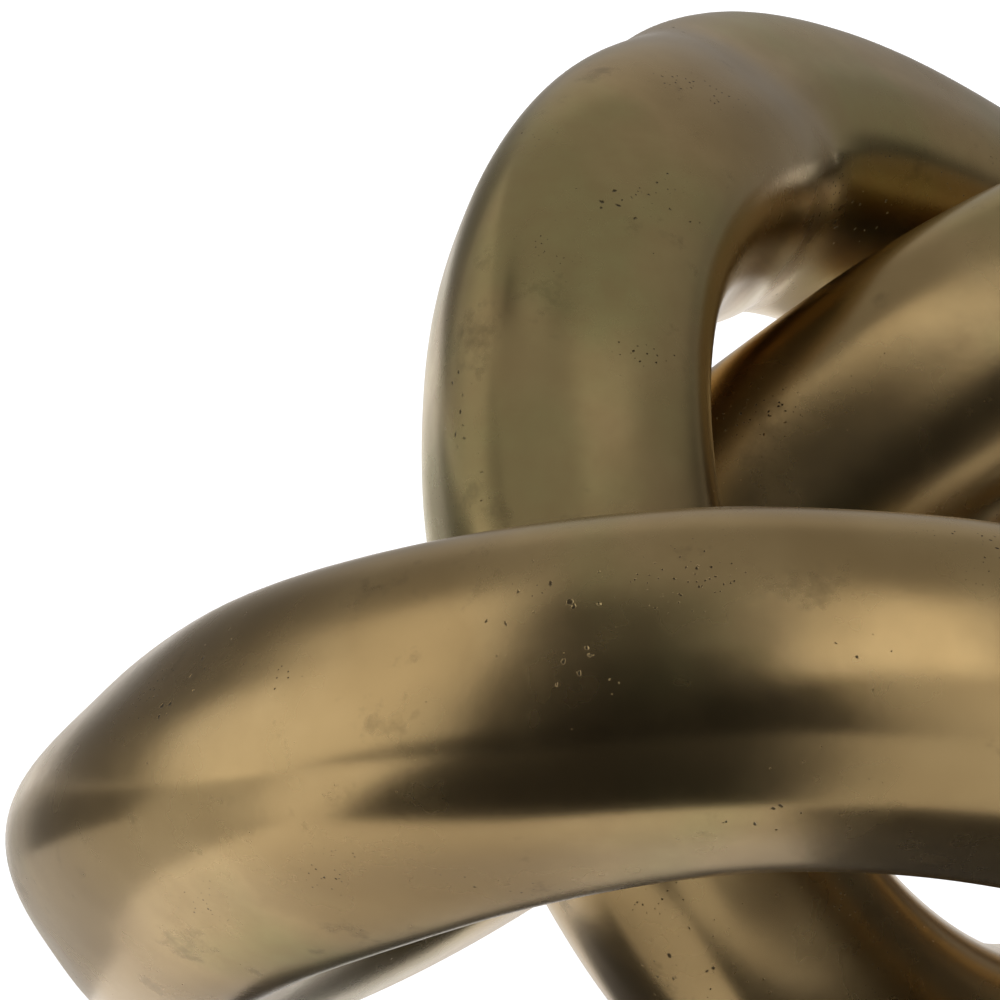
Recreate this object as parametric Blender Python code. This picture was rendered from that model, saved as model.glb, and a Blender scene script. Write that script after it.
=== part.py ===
"""Two thick cast rings, linked through each other.

Each ring is a closed, wavy loop of rounded-square bar.  Linked closed rings can't be
cast whole, so each ring is two halves: they meet at two butt joints, and two dowels
cross every joint.  The upright ring stands on a ground flat; the front ring passes
through it and swivels on its left limb, with a ground flat of its own at its far end.

Metres, +Z up.  The origin is on the surface it stands on, under the middle of the pair.
"""

import math
from dataclasses import dataclass

import bmesh
import bpy
import numpy as np
from mathutils import Matrix, Vector

SECTION_POWER = 2.8         # superellipse exponent of the bar: 2 is round, more is squarer
SECTION_SIDES = 28          # facets round the bar
STATIONS_PER_RADIAN = 12    # sections along the ring

BUTT_GAP = 0.0003           # between the end faces of two halves
DOWEL_RADIUS = 0.003
DOWEL_LENGTH = 0.024
DOWEL_SPREAD = 0.014        # between the two dowels of a joint
DOWEL_CLEARANCE = 0.0003    # round and beyond each dowel
DOWEL_SIDES = 16

FLAT_DEPTH = 0.030          # height of the block that grinds the flats
FLAT_BLOCK_SIZE = 0.400     # its width and length

BRASS = (0.40, 0.30, 0.17, 1.0)
DARK_BRASS = (0.33, 0.26, 0.16, 1.0)
STEEL = (0.55, 0.55, 0.56, 1.0)
CASTING_ROUGHNESS = 0.35
DOWEL_ROUGHNESS = 0.30
SHARP_ANGLE = math.radians(40.0)    # edges sharper than this stay crisp
RIDGE_ANGLE = math.radians(45.0)    # of a ridge from the ring's plane, before its ridge_turn


@dataclass
class Ring:
    """A closed loop: an ellipse on two half axes, bent by a second and a third wave."""

    name: str
    centre: tuple
    half_axes: tuple        # cosine and sine vectors of the ellipse
    second_wave: tuple      # the same for twice round
    third_wave: tuple       # the same for three times round
    half_size: float        # half the bar's thickness between its flats
    swell: tuple            # how much thicker it gets, cosine and sine
    ridge_turn: float       # turn of the bar's four ridges from the ring's plane
    joints: tuple           # the two angles round the loop where the halves meet
    halves: tuple           # half from the first joint to the second, then the other
    colour: tuple

    def waves(self):
        return (self.half_axes, self.second_wave, self.third_wave)

    def point(self, angle):
        """Point of the centre line at an angle round the loop."""
        place = Vector(self.centre)
        for number, (cosine, sine) in enumerate(self.waves(), start=1):
            place += Vector(cosine) * math.cos(number * angle)
            place += Vector(sine) * math.sin(number * angle)
        return place

    def direction(self, angle):
        """Unit tangent of the centre line."""
        slope = Vector((0.0, 0.0, 0.0))
        for number, (cosine, sine) in enumerate(self.waves(), start=1):
            slope -= Vector(cosine) * (number * math.sin(number * angle))
            slope += Vector(sine) * (number * math.cos(number * angle))
        return slope.normalized()

    def cross_axes(self, angle):
        """Two unit vectors across the bar: outwards and along the ring's own axis."""
        along = self.direction(angle)
        normal = Vector(self.half_axes[0]).cross(Vector(self.half_axes[1]))
        axial = (normal - along * normal.dot(along)).normalized()
        return along.cross(axial), axial

    def bar_half(self, angle):
        cosine, sine = self.swell
        return self.half_size + cosine * math.cos(angle) + sine * math.sin(angle)

    def section(self, angle, shift=0.0):
        """Points round the bar at an angle, moved along the bar by shift."""
        outward, axial = self.cross_axes(angle)
        turn = RIDGE_ANGLE - math.radians(self.ridge_turn)
        first = outward * math.cos(turn) + axial * math.sin(turn)
        second = axial * math.cos(turn) - outward * math.sin(turn)
        middle = self.point(angle) + self.direction(angle) * shift
        half = self.bar_half(angle)
        points = []
        for step in range(SECTION_SIDES):
            across, up = superellipse(math.tau * step / SECTION_SIDES)
            points.append(middle + first * (half * across) + second * (half * up))
        return points


def superellipse(angle):
    power = 2.0 / SECTION_POWER
    cosine = math.cos(angle)
    sine = math.sin(angle)
    across = math.copysign(abs(cosine) ** power, cosine)
    up = math.copysign(abs(sine) ** power, sine)
    return across, up


FRONT_RING = Ring(
    name="front_ring",
    centre=(0.0031, -0.0210, 0.0611),
    half_axes=((-0.093, -0.014, 0.011), (-0.002, -0.060, -0.012)),
    second_wave=((-0.002, 0.004, -0.027), (0.0, 0.0, 0.018)),
    third_wave=((-0.001, 0.005, 0.005), (0.0, -0.005, 0.001)),
    half_size=0.0175,
    swell=(0.001, -0.001),
    ridge_turn=0.0,
    joints=(-0.88, 2.40),
    halves=("front_ring_near_half", "front_ring_far_half"),
    colour=BRASS,
)

UPRIGHT_RING = Ring(
    name="upright_ring",
    centre=(-0.0031, 0.0297, 0.0673),
    half_axes=((-0.032, -0.048, -0.011), (-0.043, -0.007, 0.060)),
    second_wave=((-0.002, 0.002, 0.0), (0.009, 0.002, 0.0)),
    third_wave=((-0.002, -0.005, -0.004), (-0.006, -0.004, 0.007)),
    half_size=0.0170,
    swell=(-0.001, -0.001),
    ridge_turn=15.0,
    joints=(0.0, 3.30),
    halves=("upright_ring_upper_half", "upright_ring_lower_half"),
    colour=DARK_BRASS,
)

# The front ring swivels about a vertical line inside the upright ring's left
# limb, where that limb passes through it.
SWIVEL_PIVOT = (-0.033, -0.017, 0.050)


def clear_scene():
    for item in list(bpy.data.objects):
        bpy.data.objects.remove(item, do_unlink=True)


def new_collection(name):
    collection = bpy.data.collections.new(name)
    bpy.context.scene.collection.children.link(collection)
    return collection


def move_to(item, collection):
    for old in list(item.users_collection):
        old.objects.unlink(item)
    collection.objects.link(item)


def finish(name, colour, roughness):
    """A Principled BSDF metal."""
    material = bpy.data.materials.new(name)
    material.use_nodes = True
    shader = material.node_tree.nodes["Principled BSDF"]
    shader.inputs["Base Color"].default_value = colour
    shader.inputs["Metallic"].default_value = 1.0
    shader.inputs["Roughness"].default_value = roughness
    return material


def ring_empty(name, place, collection):
    """An empty that carries the pieces of one ring."""
    empty = bpy.data.objects.new(name, None)
    empty.location = place
    empty.empty_display_size = 0.02
    collection.objects.link(empty)
    return empty


def loft(name, sections, origin):
    """A closed mesh through rings of points, its own zero at origin."""
    shape = bmesh.new()
    rows = [[shape.verts.new(point - origin) for point in section] for section in sections]
    for row, following in zip(rows, rows[1:]):
        for side in range(SECTION_SIDES):
            after = (side + 1) % SECTION_SIDES
            shape.faces.new((row[side], row[after], following[after], following[side]))
    shape.faces.new(list(reversed(rows[0])))
    shape.faces.new(rows[-1])
    bmesh.ops.recalc_face_normals(shape, faces=shape.faces)
    mesh = bpy.data.meshes.new(name)
    shape.to_mesh(mesh)
    shape.free()
    mesh.shade_smooth()
    mesh.set_sharp_from_angle(angle=SHARP_ANGLE)
    return mesh


def half_ring(ring, name, start, end, parent, collection):
    """The bar from one joint to the other, its end faces half a gap short of them."""
    count = round((end - start) * STATIONS_PER_RADIAN)
    inner = np.linspace(start, end, count + 1)[1:-1]
    sections = [ring.section(start, BUTT_GAP / 2)]
    sections += [ring.section(angle) for angle in inner]
    sections.append(ring.section(end, -BUTT_GAP / 2))
    origin = ring.point((start + end) / 2)
    item = bpy.data.objects.new(name, loft(name, sections, origin))
    item.parent = parent
    item.location = origin - parent.location
    item.data.materials.append(finish(name, ring.colour, CASTING_ROUGHNESS))
    collection.objects.link(item)
    return item


def rod(name, radius, length, place, along):
    """A cylinder primitive centred on place, lying along a direction."""
    bpy.ops.mesh.primitive_cylinder_add(vertices=DOWEL_SIDES, radius=radius, depth=length)
    item = bpy.context.object
    item.name = name
    item.rotation_mode = "QUATERNION"
    item.rotation_quaternion = Vector((0.0, 0.0, 1.0)).rotation_difference(along)
    item.location = place
    return item


def as_cutter(item, collection):
    move_to(item, collection)
    item.display_type = "WIRE"
    item.hide_render = True


def cut(item, cutter):
    modifier = item.modifiers.new(f"cut by {cutter.name}", "BOOLEAN")
    modifier.operation = "DIFFERENCE"
    modifier.solver = "EXACT"
    modifier.object = cutter


def dowel_pair(ring, number, angle, halves, parent, parts, cutters):
    """Two dowels across a joint, and the holes for them in both halves."""
    _, axial = ring.cross_axes(angle)
    along = ring.direction(angle)
    for side, letter in ((-1, "a"), (1, "b")):
        place = ring.point(angle) + axial * (side * DOWEL_SPREAD / 2)
        name = f"{ring.name}_dowel_{number}{letter}"
        dowel = rod(name, DOWEL_RADIUS, DOWEL_LENGTH, place, along)
        move_to(dowel, parts)
        dowel.parent = parent
        dowel.location = place - parent.location
        dowel.data.materials.append(finish(name, STEEL, DOWEL_ROUGHNESS))
        dowel.data.shade_smooth()
        dowel.data.set_sharp_from_angle(angle=SHARP_ANGLE)
        hole = rod(
            f"{name}_hole",
            DOWEL_RADIUS + DOWEL_CLEARANCE,
            DOWEL_LENGTH + 2 * DOWEL_CLEARANCE,
            place,
            along,
        )
        as_cutter(hole, cutters)
        for half in halves:
            cut(half, hole)


def grinding_block(cutters):
    """The block under the floor that leaves the flats on the rings."""
    bpy.ops.mesh.primitive_cube_add(size=1.0, location=(0.0, 0.0, -FLAT_DEPTH / 2))
    block = bpy.context.object
    block.name = "grinding_block"
    block.data.transform(Matrix.Diagonal((FLAT_BLOCK_SIZE, FLAT_BLOCK_SIZE, FLAT_DEPTH, 1.0)))
    as_cutter(block, cutters)
    return block


def build_ring(ring, pivot, block, parts, cutters):
    parent = ring_empty(f"{ring.name}_pivot", pivot, parts)
    first, second = ring.joints
    spans = ((first, second), (second, first + math.tau))
    halves = []
    for name, (start, end) in zip(ring.halves, spans):
        half = half_ring(ring, name, start, end, parent, parts)
        cut(half, block)
        halves.append(half)
    for number, angle in enumerate(ring.joints, start=1):
        dowel_pair(ring, number, angle, halves, parent, parts, cutters)


def main():
    clear_scene()
    parts = new_collection("linked_ring_puzzle")
    cutters = new_collection("cutters")
    block = grinding_block(cutters)
    build_ring(FRONT_RING, SWIVEL_PIVOT, block, parts, cutters)
    build_ring(UPRIGHT_RING, UPRIGHT_RING.centre, block, parts, cutters)


main()
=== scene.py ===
"""Looks of the linked ring puzzle: cast rings with a satin antique-brass finish."""

import math

import bpy
import numpy as np
from mathutils import Matrix, Vector, noise


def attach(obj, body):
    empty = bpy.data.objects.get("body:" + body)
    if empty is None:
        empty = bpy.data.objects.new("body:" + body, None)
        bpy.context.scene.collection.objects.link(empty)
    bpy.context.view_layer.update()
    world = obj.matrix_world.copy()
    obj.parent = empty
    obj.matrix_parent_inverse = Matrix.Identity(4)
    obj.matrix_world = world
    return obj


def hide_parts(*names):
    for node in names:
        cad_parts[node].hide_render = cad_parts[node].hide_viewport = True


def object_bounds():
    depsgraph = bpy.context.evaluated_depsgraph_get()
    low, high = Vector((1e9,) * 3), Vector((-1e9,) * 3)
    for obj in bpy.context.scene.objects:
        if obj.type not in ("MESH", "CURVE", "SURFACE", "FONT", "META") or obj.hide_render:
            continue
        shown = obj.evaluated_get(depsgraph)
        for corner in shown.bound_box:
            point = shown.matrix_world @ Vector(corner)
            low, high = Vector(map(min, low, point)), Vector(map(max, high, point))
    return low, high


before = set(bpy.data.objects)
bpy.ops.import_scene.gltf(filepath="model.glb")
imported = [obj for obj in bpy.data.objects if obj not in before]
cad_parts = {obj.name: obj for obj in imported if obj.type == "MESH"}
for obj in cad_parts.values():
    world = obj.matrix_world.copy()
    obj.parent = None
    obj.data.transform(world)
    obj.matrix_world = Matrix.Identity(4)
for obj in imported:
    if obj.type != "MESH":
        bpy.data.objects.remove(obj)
CAD_LOW, CAD_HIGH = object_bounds()

# The two loops, as the CAD has them: centre, then the vectors of each wave round the loop.
SECTION_POWER = 2.8
FRONT_RING = {
    "body": "front_ring",
    "centre": (0.0031, -0.0210, 0.0611),
    "waves": (
        ((-0.093, -0.014, 0.011), (-0.002, -0.060, -0.012)),
        ((-0.002, 0.004, -0.027), (0.0, 0.0, 0.018)),
        ((-0.001, 0.005, 0.005), (0.0, -0.005, 0.001)),
    ),
    "half_size": 0.0175,
    "swell": (0.001, -0.001),
    "ridge_turn": 0.0,
    "joints": (-0.88, 2.40),
    "halves": ("front_ring_near_half", "front_ring_far_half"),
    "slot": "front_ring_metal",
}
UPRIGHT_RING = {
    "body": "upright_ring",
    "centre": (-0.0031, 0.0297, 0.0673),
    "waves": (
        ((-0.032, -0.048, -0.011), (-0.043, -0.007, 0.060)),
        ((-0.002, 0.002, 0.0), (0.009, 0.002, 0.0)),
        ((-0.002, -0.005, -0.004), (-0.006, -0.004, 0.007)),
    ),
    "half_size": 0.0170,
    "swell": (-0.001, -0.001),
    "ridge_turn": 15.0,
    "joints": (0.0, 3.30),
    "halves": ("upright_ring_upper_half", "upright_ring_lower_half"),
    "slot": "upright_ring_metal",
}

SIDES = 120                 # round the bar
STATION_STEP = 0.0010       # along the bar
FINE_STEPS = 4000           # for measuring lengths along the bar and round it
RIDGE_RISE = 0.10           # how much further out a ridge is than a side, as a share

# Cards that only show in the metal: their corners, and their brightness.
CARDS = {
    "front_flag": (
        ((-0.13, -0.115, 0.002), (-4.0, -3.9, 0.002), (0.90, -3.9, 0.002), (-0.02, -0.115, 0.002)),
        0.01,
    ),
    "grey_card": (
        ((-0.02, -0.115, 0.002), (0.90, -3.9, 0.002), (3.8, -3.9, 0.002), (0.15, -0.115, 0.002)),
        0.70,
    ),
    "left_flag": (
        ((-0.26, -0.02, 0.002), (-1.6, 0.2, 0.002), (-0.9, 1.2, 0.002), (-0.2, 0.08, 0.002)),
        0.10,
    ),
    "left_grey": (
        (
            (-0.15, -0.10, 0.0005),
            (-3.5, -1.0, 0.0005),
            (-3.5, 1.8, 0.0005),
            (-1.8, 3.2, 0.0005),
            (-0.12, 0.07, 0.0005),
        ),
        0.55,
    ),
    "right_flag": (
        ((0.30, -0.30, 0.0), (0.30, 0.35, 0.0), (0.30, 0.35, 0.12), (0.30, -0.30, 0.12)),
        0.02,
    ),
    "low_flag": (
        ((0.06, -0.15, 0.0), (0.30, -0.12, 0.0), (0.30, -0.12, 0.03), (0.06, -0.15, 0.03)),
        0.02,
    ),
    "back_card": (
        ((-0.02, 0.09, 0.001), (0.10, 0.09, 0.001), (0.14, 0.20, 0.001), (-0.02, 0.20, 0.001)),
        0.45,
    ),
    "back_floor": (
        ((-0.10, 0.10, 0.0004), (-1.7, 3.4, 0.0004), (2.0, 3.4, 0.0004), (0.35, 0.10, 0.0004)),
        1.15,
    ),
    "left_card": (
        ((-0.10, 0.031, 0.001), (-0.021, 0.031, 0.001), (-0.021, 0.10, 0.001), (-0.10, 0.10, 0.001)),
        1.00,
    ),
    # Painted shade: a dark sheet on the floor under the rings, seen only in the metal, standing in
    # for the deep shadow on the floor beneath them.
    "shade_under_rings": (
        (
            (-0.022, -0.11, 0.001),
            (0.30, -0.11, 0.001),
            (0.30, 0.03, 0.001),
            (-0.09, 0.03, 0.001),
            (-0.09, -0.03, 0.001),
            (-0.022, -0.03, 0.001),
        ),
        0.04,
    ),
}

# Light of the room that the metal mirrors: each part rises smoothly as the view turns
# towards a direction, between two cosines of the angle to it, up to an amount.
ROOM_LIGHT = 0.33
ROOM_GLOWS = {
    "ceiling": ((0.0, 0.0, 1.0), 0.45, 0.80, 0.06),
    "sweep": ((0.0, 0.92, -0.39), 0.80, 0.97, 0.60),
    "top_of_sweep": ((0.0, 0.80, 0.60), 0.85, 0.97, 0.20),
    "left_of_sweep": ((-0.70, 0.70, 0.14), 0.85, 0.97, -0.14),
}
# Its dark parts: how dark, and the directions that each lies towards, all at once.
ROOM_SHADOWS = {
    "low_right": (
        0.80,
        (
            ((0.97, -0.17, 0.0), 0.72, 0.90),
            ((0.0, 0.0, -1.0), -0.38, -0.15),
        ),
    ),
    "round_the_camera": (
        0.95,
        (
            ((0.60, -0.76, 0.25), -0.03, 0.08),
            ((-0.87, -0.49, 0.0), -0.12, 0.02),
            ((0.0, 0.0, -1.0), -0.90, -0.84),
        ),
    ),
}

FLOOR_RADIUS = 4.0
FLOOR_SIDES = 96
FLOOR_Z = -0.0002
FLOOR_COLOUR = (0.80, 0.80, 0.82, 1.0)
FLOOR_ROUGHNESS = 0.7
FLOOR_GLOW = ((0.98, 0.99, 1.0, 1.0), 0.20)     # colour and strength
TABLE_LIGHT = (3.2, 80.0, -12.0)                # strength, width and tilt in degrees

# Panels that each light some castings only: azimuth (0 is the camera's side, 90 the right),
# elevation, distance, width and height, brightness (1 is plain white), roll, what it lights.
PANEL_AIM = Vector((-0.02, -0.05, 0.07))
PANELS = {
    "left_panel": (-82.0, 23.0, 0.90, (0.98, 0.84), 0.85, 35.0, "near"),
    "right_panel": (36.0, 17.0, 0.90, (0.52, 0.58), 0.60, 0.0, "near"),
    "right_lamp": (31.0, 46.0, 1.00, (0.48, 0.25), 1.60, 0.0, "near"),
    "top_strip": (16.0, 57.0, 1.00, (0.45, 0.10), 0.60, 0.0, "near"),
    "far_lamp": (3.0, 57.0, 1.00, (0.60, 0.23), 1.15, -32.0, "far"),
    "upright_panel": (-10.0, 33.0, 1.00, (1.80, 1.20), 0.31, 0.0, "upright"),
    "upright_side": (-105.0, 18.0, 1.00, (1.10, 1.00), 0.20, 0.0, "upright"),
}

CAMERA_ELEVATION = math.radians(9.0)
CAMERA_DISTANCE = 0.590
CAMERA_LENS = 187.2
CAMERA_SENSOR = 36.0
CAMERA_AIM_ALONG = 0.24     # from the left end of the pair, as a share of its length
CAMERA_AIM_Y = -0.0041
CAMERA_AIM_Z = 0.0867

# Brass: its two main tones, an olive one, and the grime on it.
BRASS_LIGHT = (0.53, 0.378, 0.18)
BRASS_DARK = (0.41, 0.28, 0.125)
BRASS_OLIVE = (0.46, 0.377, 0.165)
GRIME = (0.045, 0.034, 0.022)
# Casting pits of two sizes: cells per metre, pit radius in cells, patches per metre.
LARGE_PITS = (620.0, 0.20, 45.0)
SMALL_PITS = (1400.0, 0.24, 70.0)
PIT_RAGGED = 0.6            # how far the pits' outlines wander, in cells
# The other patterns on the brass, in patches per metre.
MOTTLE_SCALE = 28.0
BLOTCH_SCALE = 260.0
GRIME_SCALE = 95.0
SHEEN_SCALE = 70.0
GRAIN_SCALE = 900.0
BRASS_ROUGHNESS = (0.22, 0.30)
GRIME_ROUGHNESS = 0.15      # added where it is grimy
PIT_DEPTH = 0.0003
GRAIN_DEPTH = 0.03          # as a share of the pits' depth
BUMP_STRENGTH = 0.5

STEEL_TONES = ((0.42, 0.42, 0.43), (0.62, 0.62, 0.63))
STEEL_ROUGHNESS = (0.22, 0.38)
TARNISH_SCALE = 180.0

DENT_DEPTH = 0.00022        # hand-worked unevenness of the casting
DENT_SIZE = 0.020


def loop_frame(ring, angles):
    """Centre line, outward and axial unit vectors, and the bar's half size."""
    angles = np.asarray(angles, float)
    place = np.tile(np.array(ring["centre"]), (len(angles), 1))
    slope = np.zeros_like(place)
    for number, (cosine, sine) in enumerate(ring["waves"], start=1):
        turn = number * angles
        place += np.outer(np.cos(turn), cosine) + np.outer(np.sin(turn), sine)
        slope += number * (np.outer(np.cos(turn), sine) - np.outer(np.sin(turn), cosine))
    along = slope / np.linalg.norm(slope, axis=1)[:, None]
    normal = np.cross(*ring["waves"][0])
    axial = normal - (along @ normal)[:, None] * along
    axial /= np.linalg.norm(axial, axis=1)[:, None]
    outward = np.cross(along, axial)
    cosine, sine = ring["swell"]
    half = ring["half_size"] + cosine * np.cos(angles) + sine * np.sin(angles)
    return place, along, outward, axial, half


def even_angles(ring, start, end):
    """Angles from start to end, evenly spaced along the bar."""
    fine = np.linspace(start, end, FINE_STEPS)
    place = loop_frame(ring, fine)[0]
    run = np.concatenate([[0.0], np.cumsum(np.linalg.norm(np.diff(place, axis=0), axis=1))])
    count = int(round(run[-1] / STATION_STEP))
    return np.interp(np.linspace(0.0, run[-1], count + 1), run, fine)


def section_shape():
    """Superellipse points evenly spaced round the bar, and how near each is to a ridge."""
    turn = np.linspace(0.0, math.tau, FINE_STEPS + 1)
    power = 2.0 / SECTION_POWER
    across = np.sign(np.cos(turn)) * np.abs(np.cos(turn)) ** power
    up = np.sign(np.sin(turn)) * np.abs(np.sin(turn)) ** power
    run = np.concatenate([[0.0], np.cumsum(np.hypot(np.diff(across), np.diff(up)))])
    even = np.linspace(0.0, run[-1], SIDES + 1)[:-1]
    across = np.interp(even, run, across)
    up = np.interp(even, run, up)
    ridge = np.clip((np.hypot(across, up) - 1.0) / RIDGE_RISE, 0.0, 1.0)
    return across, up, ridge


def surface_points(ring, angles):
    """Worked surface of the bar at these angles round the loop."""
    place, _, outward, axial, half = loop_frame(ring, angles)
    turn = math.radians(45.0 - ring["ridge_turn"])
    first = outward * math.cos(turn) + axial * math.sin(turn)
    second = axial * math.cos(turn) - outward * math.sin(turn)
    across, up, ridge = section_shape()
    away = across[None, :, None] * first[:, None] + up[None, :, None] * second[:, None]
    points = place[:, None] + half[:, None, None] * away
    away /= np.linalg.norm(away, axis=2)[:, :, None]
    dents = np.array([noise.noise(Vector(point / DENT_SIZE)) for point in points.reshape(-1, 3)])
    points += away * (DENT_DEPTH * (dents.reshape(points.shape[:2]) - 1.0))[:, :, None]
    return points, ridge


def surface_normals(points):
    """Unit normals of the bar, from its neighbours along and round it."""
    along = points[2:] - points[:-2]
    inner = points[1:-1]
    round_bar = np.roll(inner, -1, axis=1) - np.roll(inner, 1, axis=1)
    normals = np.cross(along, round_bar)
    return normals / np.linalg.norm(normals, axis=2)[:, :, None]


def half_ring_mesh(ring, name, start, end):
    """The bar from joint to joint as a closed, finely divided mesh.

    Its shading runs on smoothly over the dressed joints; only the joint faces and the
    ground flat have edges.
    """
    angles = even_angles(ring, start, end)
    step = angles[1] - angles[0]
    wider = np.concatenate([[start - step], angles, [end + step]])
    points, ridge = surface_points(ring, wider)
    normals = surface_normals(points)
    points = points[1:-1]
    stations = len(angles)
    index = np.arange(stations * SIDES).reshape(stations, SIDES)
    following = np.roll(index, -1, axis=1)
    quads = np.stack(
        [index[1:], following[1:], following[:-1], index[:-1]], axis=-1
    ).reshape(-1, 4)
    on_floor = points[:, :, 2] < 0.0
    points[:, :, 2] = np.maximum(points[:, :, 2], 0.0)
    faces = quads.tolist()
    faces.append(index[0].tolist())
    faces.append(index[-1][::-1].tolist())
    mesh = bpy.data.meshes.new(name)
    mesh.from_pydata(points.reshape(-1, 3).tolist(), [], faces)
    mesh.update()
    mesh.shade_smooth()
    corner_vertex = np.empty(len(mesh.loops), int)
    mesh.loops.foreach_get("vertex_index", corner_vertex)
    corner_normals = normals.reshape(-1, 3)[corner_vertex]
    sides = len(quads) * 4
    corner_normals[sides:sides + SIDES] = mesh.polygons[len(quads)].normal
    corner_normals[sides + SIDES:] = mesh.polygons[len(quads) + 1].normal
    flat_corners = on_floor.reshape(-1)[corner_vertex]
    whole = np.repeat(flat_corners[:sides].reshape(-1, 4).all(axis=1), 4)
    corner_normals[:sides][whole] = (0.0, 0.0, -1.0)
    mesh.normals_split_custom_set(corner_normals.tolist())
    attribute = mesh.attributes.new("ridge", "FLOAT", "POINT")
    attribute.data.foreach_set("value", np.tile(ridge, stations))
    return mesh


class Nodes:
    """Short calls for building a node tree."""

    def __init__(self, tree):
        self.tree = tree

    def new(self, kind, **values):
        node = self.tree.nodes.new(kind)
        for key, value in values.items():
            setattr(node, key, value)
        return node

    def link(self, source, target):
        self.tree.links.new(source, target)

    def math(self, operation, first, second):
        node = self.new("ShaderNodeMath", operation=operation)
        for socket, value in zip(node.inputs, (first, second)):
            if isinstance(value, (int, float)):
                socket.default_value = value
            else:
                self.link(value, socket)
        return node.outputs["Value"]

    def towards(self, view, direction, start, end, amount=1.0):
        """Rises smoothly from 0 to amount as the view turns towards a direction."""
        dot = self.new("ShaderNodeVectorMath", operation="DOT_PRODUCT")
        self.link(view, dot.inputs[0])
        dot.inputs[1].default_value = direction
        span = self.new("ShaderNodeMapRange", interpolation_type="SMOOTHSTEP")
        span.inputs["From Min"].default_value = start
        span.inputs["From Max"].default_value = end
        span.inputs["To Max"].default_value = amount
        self.link(dot.outputs["Value"], span.inputs["Value"])
        return span.outputs["Result"]


class MaterialNodes(Nodes):
    """A new material, with calls for the patterns on it."""

    def __init__(self, name):
        self.material = bpy.data.materials.new(name)
        self.material.use_nodes = True
        super().__init__(self.material.node_tree)
        self.shader = self.tree.nodes["Principled BSDF"]

    def noise(self, vector, scale, detail=3.0, roughness=0.5):
        node = self.new("ShaderNodeTexNoise")
        node.inputs["Scale"].default_value = scale
        node.inputs["Detail"].default_value = detail
        node.inputs["Roughness"].default_value = roughness
        self.link(vector, node.inputs["Vector"])
        return node.outputs["Fac"]

    def ramp(self, source, stops):
        node = self.new("ShaderNodeValToRGB")
        elements = node.color_ramp.elements
        while len(elements) < len(stops):
            elements.new(0.5)
        for element, (position, colour) in zip(elements, stops):
            element.position = position
            element.color = (*colour, 1.0)
        self.link(source, node.inputs["Fac"])
        return node.outputs["Color"]

    def span(self, source, low, high, to_low=0.0, to_high=1.0):
        node = self.new("ShaderNodeMapRange")
        node.inputs["From Min"].default_value = low
        node.inputs["From Max"].default_value = high
        node.inputs["To Min"].default_value = to_low
        node.inputs["To Max"].default_value = to_high
        self.link(source, node.inputs["Value"])
        return node.outputs["Result"]

    def pits(self, vector, scale, size, patch_scale):
        """Ragged casting pits that only come in some patches, 1 inside them."""
        ragged = self.new("ShaderNodeTexNoise")
        ragged.inputs["Scale"].default_value = scale * 1.7
        self.link(vector, ragged.inputs["Vector"])
        bent = self.new("ShaderNodeVectorMath", operation="MULTIPLY_ADD")
        self.link(ragged.outputs["Color"], bent.inputs[0])
        bent.inputs[1].default_value = [PIT_RAGGED / scale] * 3
        self.link(vector, bent.inputs[2])
        cells = self.new("ShaderNodeTexVoronoi", feature="F1")
        cells.inputs["Scale"].default_value = scale
        self.link(bent.outputs["Vector"], cells.inputs["Vector"])
        patches = self.span(self.noise(vector, patch_scale, 2.0), 0.55, 0.72)
        radius = self.math("MULTIPLY", patches, size)
        inside = self.math("SUBTRACT", radius, cells.outputs["Distance"])
        return self.span(inside, 0.0, 0.08)

    def mix(self, factor, first, second, blend="MIX"):
        node = self.new("ShaderNodeMix", data_type="RGBA", blend_type=blend)
        for socket, value in ((0, factor), (6, first), (7, second)):
            if isinstance(value, (int, float)):
                node.inputs[socket].default_value = value
            elif isinstance(value, tuple):
                node.inputs[socket].default_value = (*value, 1.0)
            else:
                self.link(value, node.inputs[socket])
        return node.outputs[2]


def antique_brass(name):
    """Plated and lacquered casting: mottled brass, pits, grime and fine brushing."""
    n = MaterialNodes(name)
    where = n.new("ShaderNodeTexCoord").outputs["Object"]
    ridge = n.new("ShaderNodeAttribute", attribute_name="ridge").outputs["Fac"]

    broad = n.noise(where, MOTTLE_SCALE, 3.0)
    fine = n.noise(where, BLOTCH_SCALE, 4.0, 0.6)
    colour = n.ramp(broad, [(0.36, BRASS_DARK), (0.52, BRASS_LIGHT), (0.66, BRASS_OLIVE)])
    colour = n.mix(n.span(fine, 0.35, 0.65, 0.0, 0.35), colour, BRASS_DARK)
    colour = n.mix(n.math("MULTIPLY", ridge, 0.20), colour, BRASS_LIGHT)

    pit = n.math("MAXIMUM", n.pits(where, *LARGE_PITS), n.pits(where, *SMALL_PITS))
    grime = n.span(n.noise(where, GRIME_SCALE, 5.0, 0.7), 0.60, 0.74, 0.0, 0.35)
    grime = n.math("MAXIMUM", n.math("MULTIPLY", pit, 0.85), grime)
    colour = n.mix(grime, colour, GRIME)
    n.link(colour, n.shader.inputs["Base Color"])
    n.shader.inputs["Metallic"].default_value = 1.0

    rough = n.span(n.noise(where, SHEEN_SCALE, 4.0, 0.6), 0.3, 0.7, *BRASS_ROUGHNESS)
    rough = n.math("ADD", rough, n.math("MULTIPLY", grime, GRIME_ROUGHNESS))
    n.link(rough, n.shader.inputs["Roughness"])

    grain = n.noise(where, GRAIN_SCALE, 2.0)
    height = n.math("SUBTRACT", n.math("MULTIPLY", grain, GRAIN_DEPTH), pit)
    bump = n.new("ShaderNodeBump")
    bump.inputs["Strength"].default_value = BUMP_STRENGTH
    bump.inputs["Distance"].default_value = PIT_DEPTH
    n.link(height, bump.inputs["Height"])
    n.link(bump.outputs["Normal"], n.shader.inputs["Normal"])
    return n.material


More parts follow.
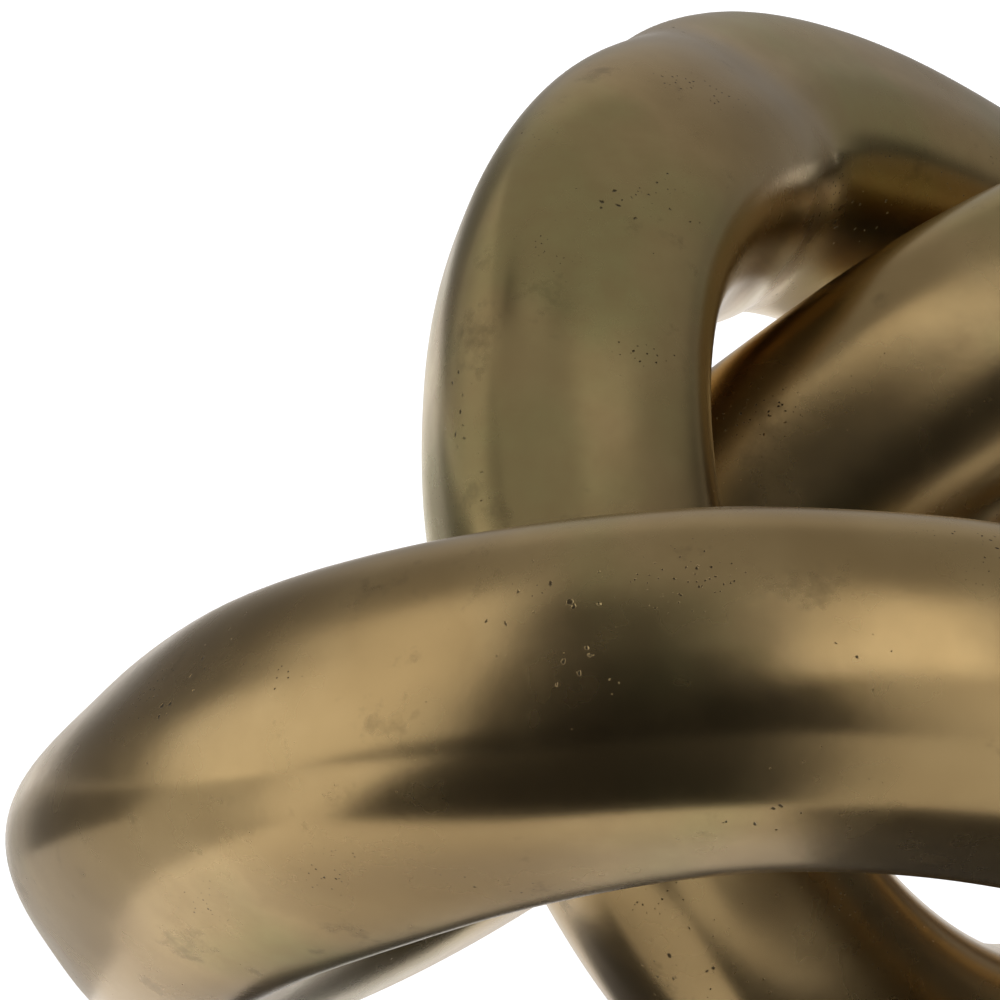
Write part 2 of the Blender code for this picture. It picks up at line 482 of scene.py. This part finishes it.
def ground_steel(name):
    """Dowels: ground bar with a trace of tarnish."""
    n = MaterialNodes(name)
    where = n.new("ShaderNodeTexCoord").outputs["Object"]
    tarnish = n.noise(where, TARNISH_SCALE, 4.0)
    dark, light = STEEL_TONES
    colour = n.ramp(tarnish, [(0.35, dark), (0.65, light)])
    n.link(colour, n.shader.inputs["Base Color"])
    n.shader.inputs["Metallic"].default_value = 1.0
    n.link(n.span(tarnish, 0.3, 0.7, *STEEL_ROUGHNESS), n.shader.inputs["Roughness"])
    return n.material


def build_ring(ring, material):
    first, second = ring["joints"]
    spans = ((first, second), (second, first + math.tau))
    pieces = []
    for node, (start, end) in zip(ring["halves"], spans):
        name = f"{node}_casting"
        piece = bpy.data.objects.new(name, half_ring_mesh(ring, name, start, end))
        piece.data.materials.append(material)
        bpy.context.scene.collection.objects.link(piece)
        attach(piece, ring["body"])
        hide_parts(node)
        pieces.append(piece)
    return pieces


def finish_dowels():
    steel = ground_steel("ground_steel")
    for name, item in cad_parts.items():
        if "dowel" in name:
            item.data.materials.clear()
            item.data.materials.append(steel)


def flat_mesh(name, corners):
    mesh = bpy.data.meshes.new(name)
    mesh.from_pydata(corners, [], [tuple(range(len(corners)))])
    return mesh


def pale_floor():
    """A white light table, so that shadows on it stay faint."""
    corners = []
    for step in range(FLOOR_SIDES):
        angle = math.tau * step / FLOOR_SIDES
        corners.append((FLOOR_RADIUS * math.cos(angle), FLOOR_RADIUS * math.sin(angle), FLOOR_Z))
    floor = bpy.data.objects.new("floor", flat_mesh("floor", corners))
    n = MaterialNodes("pale_floor")
    n.shader.inputs["Base Color"].default_value = FLOOR_COLOUR
    n.shader.inputs["Roughness"].default_value = FLOOR_ROUGHNESS
    glow, strength = FLOOR_GLOW
    n.shader.inputs["Emission Color"].default_value = glow
    n.shader.inputs["Emission Strength"].default_value = strength
    floor.data.materials.append(n.material)
    bpy.context.scene.collection.objects.link(floor)


def studio_cards():
    for name, (corners, brightness) in CARDS.items():
        card = bpy.data.objects.new(name, flat_mesh(name, corners))
        n = MaterialNodes(name)
        n.shader.inputs["Base Color"].default_value = (0.01, 0.01, 0.01, 1.0)
        n.shader.inputs["Roughness"].default_value = 1.0
        n.shader.inputs["Emission Color"].default_value = (1.0, 1.0, 1.0, 1.0)
        n.shader.inputs["Emission Strength"].default_value = brightness
        card.data.materials.append(n.material)
        card.visible_camera = False
        card.visible_diffuse = False
        card.visible_shadow = False
        bpy.context.scene.collection.objects.link(card)


def softbox(name, lit_pieces):
    """A panel that faces the object and only lights the pieces it is meant for."""
    azimuth, elevation, distance, size, brightness, roll, target = PANELS[name]
    turn = math.radians(azimuth)
    rise = math.radians(elevation)
    direction = Vector(
        (math.sin(turn) * math.cos(rise), -math.cos(turn) * math.cos(rise), math.sin(rise))
    )
    data = bpy.data.lights.new(name, "AREA")
    data.shape = "RECTANGLE"
    data.size, data.size_y = size
    data.energy = brightness * math.pi * data.size * data.size_y
    lamp = bpy.data.objects.new(name, data)
    lamp.location = PANEL_AIM + direction * distance
    facing = (-direction).to_track_quat("-Z", "Y").to_matrix().to_4x4()
    lamp.rotation_euler = (facing @ Matrix.Rotation(math.radians(roll), 4, "Z")).to_euler()
    lamp.visible_camera = False
    lit = bpy.data.collections.new(f"lit_by_{name}")
    for piece in lit_pieces[target]:
        lit.objects.link(piece)
    lamp.light_linking.receiver_collection = lit
    bpy.context.scene.collection.objects.link(lamp)


def studio_world():
    """A dim room with a white sweep behind and darkness round the camera; white to the eye."""
    world = bpy.data.worlds.new("studio")
    world.use_nodes = True
    tree = world.node_tree
    tree.nodes.clear()
    n = Nodes(tree)
    view = n.new("ShaderNodeTexCoord").outputs["Generated"]
    light = ROOM_LIGHT
    for direction, start, end, amount in ROOM_GLOWS.values():
        light = n.math("ADD", light, n.towards(view, direction, start, end, amount))
    for depth, sides in ROOM_SHADOWS.values():
        dark = 1.0
        for direction, start, end in sides:
            dark = n.math("MULTIPLY", dark, n.towards(view, direction, start, end))
        kept = n.math("SUBTRACT", 1.0, n.math("MULTIPLY", dark, depth))
        light = n.math("MULTIPLY", light, kept)
    room = n.new("ShaderNodeBackground")
    n.link(light, room.inputs["Strength"])
    plain = n.new("ShaderNodeBackground")
    plain.inputs["Color"].default_value = (1.0, 1.0, 1.0, 1.0)
    ray = n.new("ShaderNodeLightPath")
    mix = n.new("ShaderNodeMixShader")
    n.link(ray.outputs["Is Camera Ray"], mix.inputs["Fac"])
    n.link(room.outputs["Background"], mix.inputs[1])
    n.link(plain.outputs["Background"], mix.inputs[2])
    out = n.new("ShaderNodeOutputWorld")
    n.link(mix.outputs["Shader"], out.inputs["Surface"])
    bpy.context.scene.world = world


def studio_lights(lit_pieces):
    """The panels, and a wide light for the table that leaves no highlight on the metal."""
    for name in PANELS:
        softbox(name, lit_pieces)
    strength, width, tilt = TABLE_LIGHT
    data = bpy.data.lights.new("table_light", "SUN")
    data.energy = strength
    data.angle = math.radians(width)
    lamp = bpy.data.objects.new("table_light", data)
    lamp.rotation_euler = (math.radians(tilt), 0.0, 0.0)
    lamp.visible_glossy = False
    bpy.context.scene.collection.objects.link(lamp)


def photo_camera():
    """Low, near and long: the pair's upper left part fills the picture."""
    length = CAD_HIGH.x - CAD_LOW.x
    aim = Vector((CAD_LOW.x + CAMERA_AIM_ALONG * length, CAMERA_AIM_Y, CAMERA_AIM_Z))
    data = bpy.data.cameras.new("photo_camera")
    data.sensor_width = CAMERA_SENSOR
    data.lens = CAMERA_LENS
    camera = bpy.data.objects.new("photo_camera", data)
    back = Vector((0.0, -math.cos(CAMERA_ELEVATION), math.sin(CAMERA_ELEVATION)))
    camera.location = aim + back * CAMERA_DISTANCE
    camera.rotation_euler = (-back).to_track_quat("-Z", "Y").to_euler()
    data.clip_start = 0.01
    bpy.context.scene.collection.objects.link(camera)
    bpy.context.scene.camera = camera


photo_camera()
brass = antique_brass("antique_brass")
near_half, far_half = build_ring(FRONT_RING, brass)
upright_halves = build_ring(UPRIGHT_RING, brass)
finish_dowels()
pale_floor()
studio_cards()
studio_world()
studio_lights({"near": [near_half], "far": [far_half], "upright": upright_halves})
bpy.context.scene.view_settings.view_transform = "Standard"
